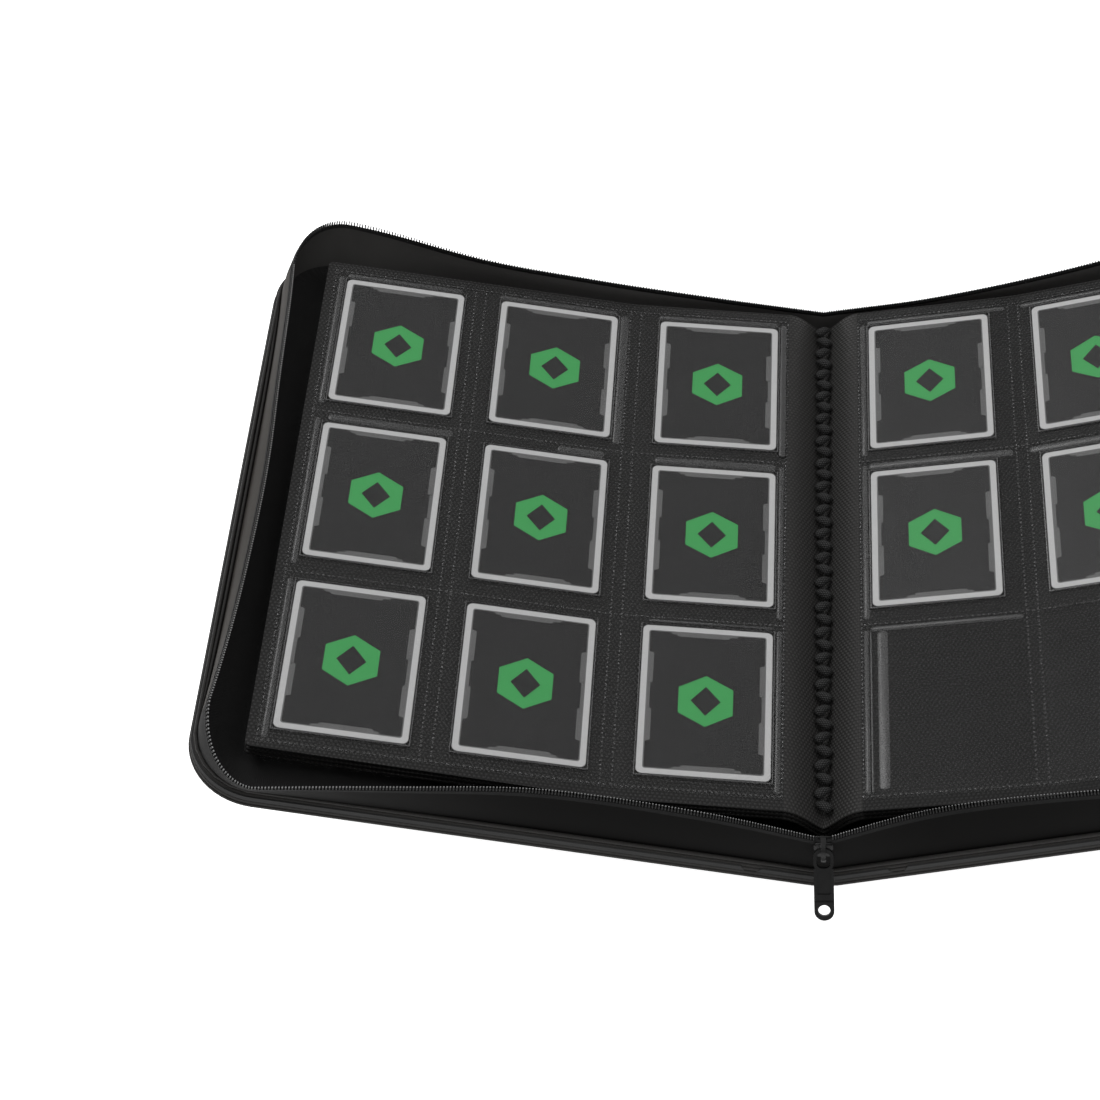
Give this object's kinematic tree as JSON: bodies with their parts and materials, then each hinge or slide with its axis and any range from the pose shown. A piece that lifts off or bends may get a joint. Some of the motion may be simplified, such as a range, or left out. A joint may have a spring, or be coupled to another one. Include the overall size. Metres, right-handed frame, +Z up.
{
  "type": "trading card binder",
  "caption": "Zip-round binder lying open in a shallow V, with clear-pocket leaves that hold sleeved cards, padded covers and a pull-tab slider.",
  "frame": {"origin": "middle of the flat strip under the spine, where the binder rests", "axes": "+X towards the back cover's outer edge, +Y along the spine to its far end, +Z up"},
  "size_m": [0.5876, 0.3755, 0.1043],
  "materials": {
    "outer_skin": "fine pebbled leatherette",
    "board": "grey board, hidden",
    "padding": "foam, hidden",
    "lining": "matt woven lining",
    "piping": "rolled leatherette",
    "gusset": "soft leatherette",
    "zip_tape": "woven tape",
    "zip_teeth": "coil teeth",
    "pocket_film": "clear embossed film",
    "card_sleeve": "clear sleeve",
    "card": "printed card",
    "leaf_sheet": "embossed diamond weave",
    "binding_strip": "matt cloth",
    "binding_thread": "black thread",
    "slider_metal": "black enamel"
  },
  "bodies": {
    "spine": {"spine_skin": "outer_skin", "spine_board": "board", "spine_padding": "padding", "spine_lining": "lining", "binding_strip": "binding_strip", "gutter_folds": "leaf_sheet", "binding_stitch": "binding_thread", "spine_gusset_near": "gusset", "spine_gusset_far": "gusset", "zip_end_near": "zip_tape", "zip_end_far": "zip_tape"},
    "front_cover": {"front_skin": "outer_skin", "front_board": "board", "front_padding": "padding", "front_lining": "lining", "front_piping": "piping", "front_gusset_near": "gusset", "front_gusset_outer": "gusset", "front_gusset_far": "gusset", "front_zip_tape": "zip_tape", "front_zip_teeth": "zip_teeth"},
    "back_cover": {"back_skin": "outer_skin", "back_board": "board", "back_padding": "padding", "back_lining": "lining", "back_piping": "piping", "back_gusset_near": "gusset", "back_gusset_outer": "gusset", "back_gusset_far": "gusset", "back_zip_tape": "zip_tape", "back_zip_teeth": "zip_teeth"},
    "left_leaves": {"left_leaf_2": "leaf_sheet", "left_leaf_2_pockets": "pocket_film", "left_leaf_3": "leaf_sheet", "left_leaf_3_pockets": "pocket_film"},
    "turning_page": {"turning_leaf": "leaf_sheet", "turning_leaf_front_pockets": "pocket_film", "turning_leaf_back_pockets": "pocket_film", "left_page_cards": "card", "left_page_sleeves": "card_sleeve"},
    "loose_card": {"loose_card": "card", "loose_card_sleeve": "card_sleeve"},
    "right_leaves": {"right_leaf_1": "leaf_sheet", "right_leaf_1_front_pockets": "pocket_film", "right_leaf_1_back_pockets": "pocket_film", "right_page_cards": "card", "right_page_sleeves": "card_sleeve", "right_leaf_2": "leaf_sheet", "right_leaf_2_pockets": "pocket_film", "right_leaf_3": "leaf_sheet", "right_leaf_3_pockets": "pocket_film"},
    "slider": {"slider_body": "slider_metal", "slider_bridge": "slider_metal"},
    "pull_tab": {"pull_tab": "slider_metal"}
  },
  "joints": [
    {"name": "front_cover_fold", "type": "hinge", "parent": "spine", "child": "front_cover", "pos_m": [-0.035, 0, 0.00855], "axis": [0, 1, 0], "range_deg": [0, 76.2]},
    {"name": "back_cover_fold", "type": "hinge", "parent": "spine", "child": "back_cover", "pos_m": [0.035, 0, 0.00855], "axis": [0, -1, 0], "range_deg": [0, 76.2]},
    {"name": "left_leaves_fold", "type": "hinge", "parent": "spine", "child": "left_leaves", "pos_m": [-0.0305, 0, 0.0263], "axis": [0, 1, 0], "range_deg": [0, 81.45], "deforming": ["gutter_folds"]},
    {"name": "right_leaves_fold", "type": "hinge", "parent": "spine", "child": "right_leaves", "pos_m": [0.0305, 0, 0.0263], "axis": [0, -1, 0], "range_deg": [0, 81.45]},
    {"name": "page_turn", "type": "hinge", "parent": "left_leaves", "child": "turning_page", "pos_m": [0, 0, 0.0383], "axis": [0, -1, 0], "range_deg": [-156, 0]},
    {"name": "card_slide", "type": "slide", "parent": "turning_page", "child": "loose_card", "axis": [-0.9919, 0, 0.1271], "range_m": [-0.025, 0]},
    {"name": "slider_travel", "type": "slide", "parent": "spine", "child": "slider", "axis": [0, 0, 1], "range_m": [0, 0.13]},
    {"name": "pull_tab_swing", "type": "hinge", "parent": "slider", "child": "pull_tab", "pos_m": [0, -0.178, 0.03], "axis": [-1, 0, 0], "range_deg": [0, 120]}
  ],
  "couplings": [
    {"joint": "left_leaves_fold", "follows": "front_cover_fold", "ratio": 1.0663},
    {"joint": "right_leaves_fold", "follows": "back_cover_fold", "ratio": 1.0663},
    {"joint": "slider_travel", "follows": "front_cover_fold", "m_per_rad": 0.0977}
  ]
}
